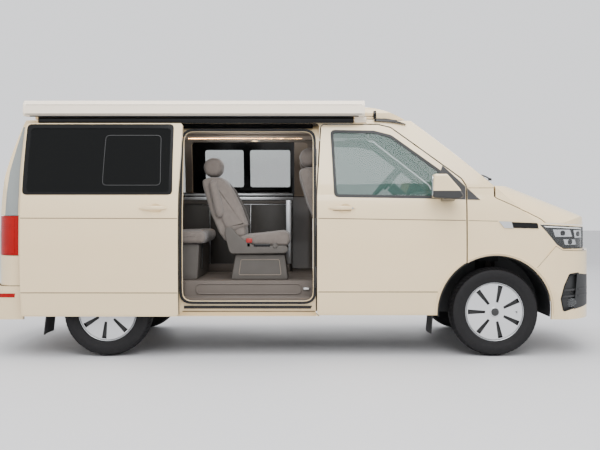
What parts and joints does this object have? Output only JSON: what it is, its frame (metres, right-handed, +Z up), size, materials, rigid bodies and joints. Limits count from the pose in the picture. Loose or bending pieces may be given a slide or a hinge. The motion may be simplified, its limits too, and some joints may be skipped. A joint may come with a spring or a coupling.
{
  "type": "camper van with a raising roof",
  "caption": "Cream camper van with an open sliding side door, side awning, low raising roof, slotted wheel covers and a fitted cabin.",
  "frame": {"origin": "on the ground under the middle of the bounding box", "axes": "+X forward, +Y to the van's left, +Z up"},
  "size_m": [4.9041, 2.297, 1.99],
  "materials": {
    "paint": "gloss, warm cream",
    "trim_black": "fine grain",
    "gloss_black": "gloss",
    "clear_glass": "clear with a slight green tint",
    "lens_clear": "clear lens",
    "lens_red": "gloss, red",
    "tyre": "matt",
    "wheel_silver": "satin silver",
    "awning_white": "powder coated, off white",
    "under_steel": "dull",
    "cast": "rough",
    "floor_grey": "ribbed",
    "seat_fabric": "woven",
    "tent_fabric": "canvas",
    "cabinet": "satin laminate",
    "dash_grey": "grained"
  },
  "bodies": {
    "chassis": {"floor_pan": "floor_grey", "body_side_left": "paint", "body_side_right": "paint", "side_windows": "clear_glass", "roof_frame": "paint", "windscreen": "clear_glass", "cowl_panel": "trim_black", "front_fenders": "paint", "headlights": "lens_clear", "grille": "gloss_black", "front_bumper": "paint", "rear_bumper": "paint", "tail_lamps": "lens_red", "tent_bellows": "tent_fabric", "awning": "awning_white", "sliding_door": "paint", "sliding_door_glass": "clear_glass", "arch_liners": "trim_black", "front_axle": "cast", "rear_axle": "cast", "engine_block": "cast", "fuel_tank": "trim_black", "exhaust": "under_steel", "tow_sockets": "under_steel", "dashboard": "dash_grey", "front_seats": "seat_fabric", "cabin_seat": "seat_fabric", "rear_bench": "seat_fabric", "kitchen_unit": "cabinet"},
    "door_left": {"front_door_left": "paint", "door_glass_left": "clear_glass", "mirror_left": "paint"},
    "door_right": {"front_door_right": "paint", "door_glass_right": "clear_glass", "mirror_right": "paint"},
    "bonnet_lid": {"bonnet": "paint"},
    "rear_gate": {"tailgate": "paint", "tailgate_glass": "clear_glass"},
    "roof_lid": {"pop_up_roof": "paint"},
    "steering": {"steering_wheel": "dash_grey"},
    "steer_left": {"knuckle_left": "cast"},
    "steer_right": {"knuckle_right": "cast"},
    "front_wheel_left": {"wheel_front_left": "wheel_silver", "tyre_front_left": "tyre"},
    "front_wheel_right": {"wheel_front_right": "wheel_silver", "tyre_front_right": "tyre"},
    "rear_wheel_left": {"wheel_rear_left": "wheel_silver", "tyre_rear_left": "tyre"},
    "rear_wheel_right": {"wheel_rear_right": "wheel_silver", "tyre_rear_right": "tyre"}
  },
  "joints": [
    {"name": "front_door_right_swing", "type": "hinge", "parent": "chassis", "child": "door_right", "pos_m": [1.255, -0.933, 0.78], "axis": [0, 0.0349, 0.9994], "range_deg": [0, 65]},
    {"name": "front_door_left_swing", "type": "hinge", "parent": "chassis", "child": "door_left", "pos_m": [1.255, 0.933, 0.78], "axis": [0, 0.0349, -0.9994], "range_deg": [0, 65]},
    {"name": "bonnet_lift", "type": "hinge", "parent": "chassis", "child": "bonnet_lid", "pos_m": [1.478, 0, 1.296], "axis": [0, -1, 0], "range_deg": [0, 50]},
    {"name": "tailgate_lift", "type": "hinge", "parent": "chassis", "child": "rear_gate", "pos_m": [-2.13319, 0, 1.779], "axis": [0, 1, 0], "range_deg": [0, 75]},
    {"name": "roof_raise", "type": "hinge", "parent": "chassis", "child": "roof_lid", "pos_m": [-2.048, 0, 1.884], "axis": [0, -1, 0], "range_deg": [0, 20]},
    {"name": "kingpin_left", "type": "hinge", "parent": "chassis", "child": "steer_left", "pos_m": [1.543, 0.718, 0.343], "axis": [0, -0.2079, 0.9781], "range_deg": [-35, 35]},
    {"name": "kingpin_right", "type": "hinge", "parent": "chassis", "child": "steer_right", "pos_m": [1.543, -0.718, 0.343], "axis": [0, 0.2079, 0.9781], "range_deg": [-35, 35]},
    {"name": "steering_turn", "type": "hinge", "parent": "chassis", "child": "steering", "pos_m": [0.824, 0.42, 1.388], "axis": [-0.7431, 0, 0.6691], "range_deg": [-525, 525]},
    {"name": "front_wheel_left_spin", "type": "hinge", "parent": "steer_left", "child": "front_wheel_left", "pos_m": [1.543, 0.814, 0.343], "axis": [0, 1, 0], "continuous": true},
    {"name": "front_wheel_right_spin", "type": "hinge", "parent": "steer_right", "child": "front_wheel_right", "pos_m": [1.543, -0.814, 0.343], "axis": [0, 1, 0], "continuous": true},
    {"name": "rear_wheel_left_spin", "type": "hinge", "parent": "chassis", "child": "rear_wheel_left", "pos_m": [-1.457, 0.814, 0.343], "axis": [0, 1, 0], "continuous": true},
    {"name": "rear_wheel_right_spin", "type": "hinge", "parent": "chassis", "child": "rear_wheel_right", "pos_m": [-1.457, -0.814, 0.343], "axis": [0, 1, 0], "continuous": true}
  ],
  "couplings": [
    {"joint": "kingpin_right", "follows": "kingpin_left", "ratio": 1},
    {"joint": "steering_turn", "follows": "kingpin_left", "ratio": 15}
  ]
}
